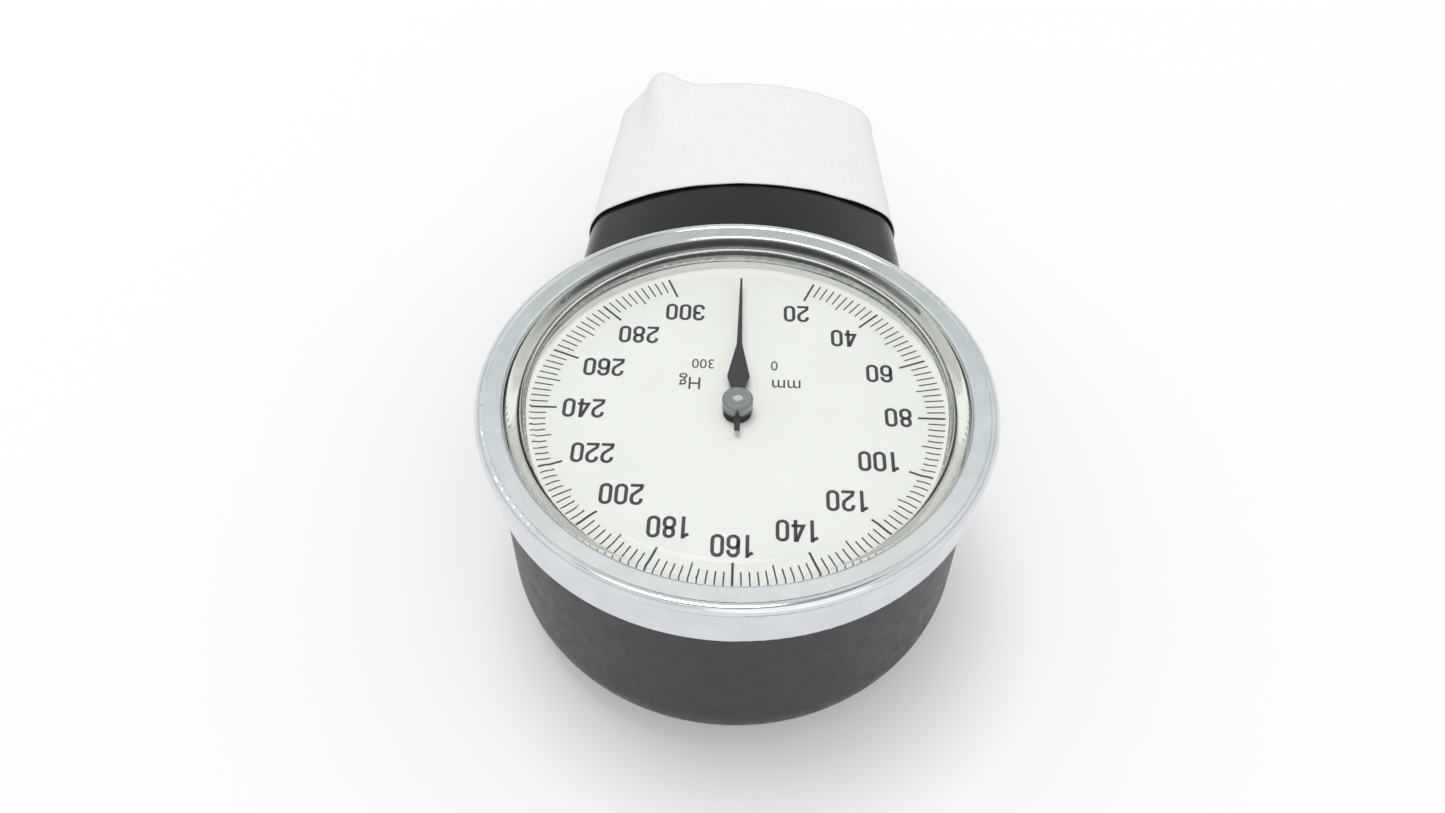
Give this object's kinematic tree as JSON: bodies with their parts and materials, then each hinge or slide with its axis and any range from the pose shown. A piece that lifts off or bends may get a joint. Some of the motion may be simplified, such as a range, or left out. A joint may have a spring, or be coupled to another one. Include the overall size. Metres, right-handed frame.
{
  "type": "aneroid blood-pressure gauge",
  "caption": "Round aneroid blood-pressure gauge head with chromed bezel, printed 0-300 dial, pointer, geared movement, pressure capsule and a black inlet neck.",
  "frame": {"origin": "centre of the flat back face, on the pointer's axis", "axes": "+Z out of the dial, +Y from the pointer's axis towards the scale's zero and the hose nipple"},
  "size_m": [0.0582, 0.1089, 0.0345],
  "materials": {
    "case_paint": "satin charcoal",
    "chrome": "polished",
    "clear_acrylic": "clear polished acrylic",
    "dial_white": "matt cream white, printed scale",
    "pointer_black": "satin black",
    "hub_grey": "turned",
    "brass": "machined",
    "steel": "machined",
    "spring_bronze": "rolled strip",
    "capsule_metal": "pressed sheet",
    "grey_gasket": "matt light grey",
    "black_rubber": "matt",
    "neck_black": "glossy moulded",
    "label_paper": "blank matt paper"
  },
  "bodies": {
    "case": {"case_cup": "case_paint", "bezel_ring": "chrome", "crystal_gasket": "grey_gasket", "crystal": "clear_acrylic", "dial_spacer_ring": "dial_white", "dial_plate": "dial_white", "hairspring_stud": "brass", "movement_base_plate": "brass", "movement_top_plate": "brass", "movement_pillars": "brass", "movement_screws": "steel", "top_plate_screws": "steel", "rocker_pivot_screws": "steel", "capsule_lower_diaphragm": "capsule_metal", "capsule_block": "brass", "capsule_block_screws": "steel", "inlet_tube": "brass", "inlet_grommet": "black_rubber", "hose_nipple": "chrome", "neck_upper_shell": "neck_black", "neck_lower_shell": "neck_black", "neck_screws": "steel", "neck_fixing_screws": "steel", "paper_label": "label_paper"},
    "pointer_group": {"pointer": "pointer_black", "pointer_hub": "hub_grey", "pinion_arbor": "steel", "hairspring_collet": "brass", "hairspring": "spring_bronze"},
    "sector_group": {"sector_gear": "brass", "sector_arbor": "steel"},
    "rocker_group": {"rocking_shaft": "steel", "lift_lever": "brass", "push_arm": "brass"},
    "capsule_top": {"capsule_pad": "brass", "capsule_upper_diaphragm": "capsule_metal"}
  },
  "joints": [
    {"name": "sector_swing", "type": "hinge", "parent": "case", "child": "sector_group", "pos_m": [-0.016, -0.00432, 0.0211], "axis": [0, 0, 1], "range_deg": [0, 33.75], "stiffness_Nm_per_rad": 0.002},
    {"name": "pointer_spin", "type": "hinge", "parent": "case", "child": "pointer_group", "pos_m": [0, 0, 0.0211], "axis": [0, 0, -1], "range_deg": [0, 337.5]},
    {"name": "rocker_swing", "type": "hinge", "parent": "case", "child": "rocker_group", "pos_m": [-0.0085, -0.00432, 0.0163], "axis": [1, 0, 0], "range_deg": [0, 21.33]},
    {"name": "capsule_rise", "type": "slide", "parent": "case", "child": "capsule_top", "axis": [0, 0, 1], "range_m": [0, 0.0016], "deforming": ["capsule_upper_diaphragm"]}
  ],
  "couplings": [
    {"joint": "pointer_spin", "follows": "sector_swing", "ratio": 10},
    {"joint": "rocker_swing", "follows": "sector_swing", "ratio": 0.63167},
    {"joint": "capsule_rise", "follows": "sector_swing", "m_per_rad": 0.0027162}
  ]
}
